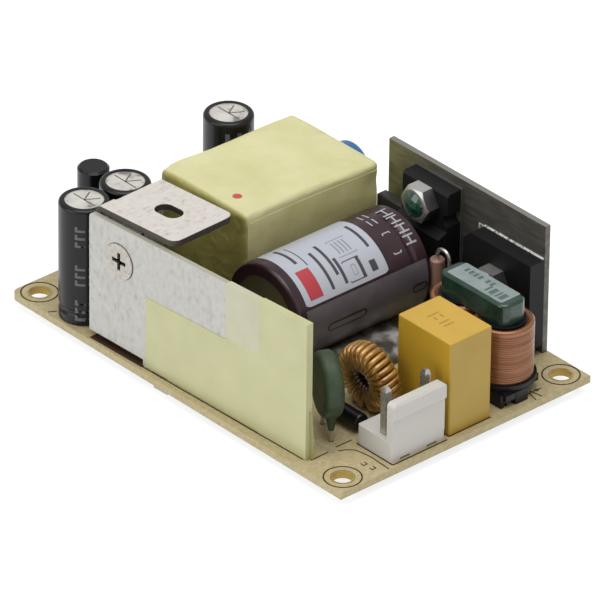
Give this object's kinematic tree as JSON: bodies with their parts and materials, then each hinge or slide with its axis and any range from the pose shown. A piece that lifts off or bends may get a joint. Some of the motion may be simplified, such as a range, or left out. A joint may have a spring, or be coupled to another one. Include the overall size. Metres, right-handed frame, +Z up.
{
  "type": "open frame power supply",
  "caption": "Open frame mains power supply: circuit board with heatsinks, taped transformer, lying bulk capacitor, output capacitors, line choke and pin connectors.",
  "frame": {"origin": "middle of the bounding box seen from above, at the height of the trimmed lead ends under the board", "axes": "+X along the board's long edge from the output connector to the input connector, +Y across the board towards the dark heatsink, +Z up from the board"},
  "size_m": [0.0762, 0.0508, 0.0268],
  "materials": {
    "laminate": "tan single sided laminate, semi matt",
    "bare_aluminium": "bare rolled aluminium sheet",
    "dark_aluminium": "dark grey-olive anodised sheet",
    "bracket_steel": "bare rolled aluminium sheet with a dark sheared edge",
    "heatsink_tape": "pale yellow polyester tape, satin",
    "zinc_steel": "bright zinc plate",
    "package_black": "moulded black epoxy",
    "tinned_copper": "tinned, satin",
    "pad_grey": "grey silicone pad",
    "compound_white": "white heat compound",
    "lock_green": "green locking paint",
    "ferrite": "black ferrite",
    "copper_wire": "enamelled copper",
    "amber_wire": "amber enamelled copper",
    "transformer_tape": "pale yellow polyester tape with wrinkles",
    "bobbin_black": "black moulded bobbin",
    "can_aluminium": "bright drawn can",
    "sleeve_black": "black shrink sleeve",
    "sleeve_maroon": "dark maroon shrink sleeve",
    "box_yellow": "yellow moulded box",
    "core_green": "dark green coated core",
    "disc_green": "dark green coating",
    "disc_blue": "blue coating",
    "resistor_tan": "pinkish tan coating",
    "film_grey": "dark box",
    "nylon": "off-white nylon",
    "pin_tin": "tin plated",
    "silicone": "translucent grey-white silicone",
    "solder": "bright solder",
    "ceramic_tan": "tan chip ceramic"
  },
  "bodies": {
    "root": {"box_capacitor": "box_yellow", "bracket_nut": "zinc_steel", "bracket_screw": "zinc_steel", "bridge_rectifier": "package_black", "bulk_capacitor_can": "can_aluminium", "bulk_capacitor_sleeve": "sleeve_maroon", "chip_ceramics": "ceramic_tan", "chip_leads": "tinned_copper", "chip_resistors": "package_black", "circuit_board": "laminate", "component_leads": "tinned_copper", "controller_chip": "package_black", "fixing_silicone": "silicone", "heatsink_nuts": "zinc_steel", "heatsink_screws": "zinc_steel", "heatsink_tape_end": "heatsink_tape", "heatsink_tape_strip": "heatsink_tape", "heatsink_tape_wrap": "heatsink_tape", "input_connector": "nylon", "input_fuse": "sleeve_black", "input_pins": "pin_tin", "inrush_thermistor": "disc_green", "left_heatsink": "bare_aluminium", "line_choke_bobbin": "bobbin_black", "line_choke_core": "core_green", "line_choke_winding_left": "copper_wire", "line_choke_winding_right": "copper_wire", "mounting_bracket": "bracket_steel", "optocoupler": "package_black", "output_capacitor_front": "can_aluminium", "output_capacitor_front_sleeve": "sleeve_black", "output_capacitor_middle": "can_aluminium", "output_capacitor_middle_sleeve": "sleeve_black", "output_capacitor_rear": "can_aluminium", "output_capacitor_rear_sleeve": "sleeve_black", "output_connector": "nylon", "output_filter_choke": "sleeve_black", "output_pins": "pin_tin", "output_rectifier_body": "package_black", "output_rectifier_tab": "tinned_copper", "regulator_chip": "package_black", "right_heatsink": "dark_aluminium", "safety_capacitor": "disc_blue", "snubber_capacitor": "film_grey", "snubber_resistor": "resistor_tan", "solder_joints": "solder", "switching_transistor": "package_black", "thermal_compound": "compound_white", "thread_lock": "lock_green", "toroid_core": "ferrite", "toroid_winding": "amber_wire", "transformer_base": "bobbin_black", "transformer_core": "ferrite", "transformer_tape": "transformer_tape", "transformer_winding": "copper_wire", "transistor_pad": "pad_grey"}
  },
  "joints": []
}
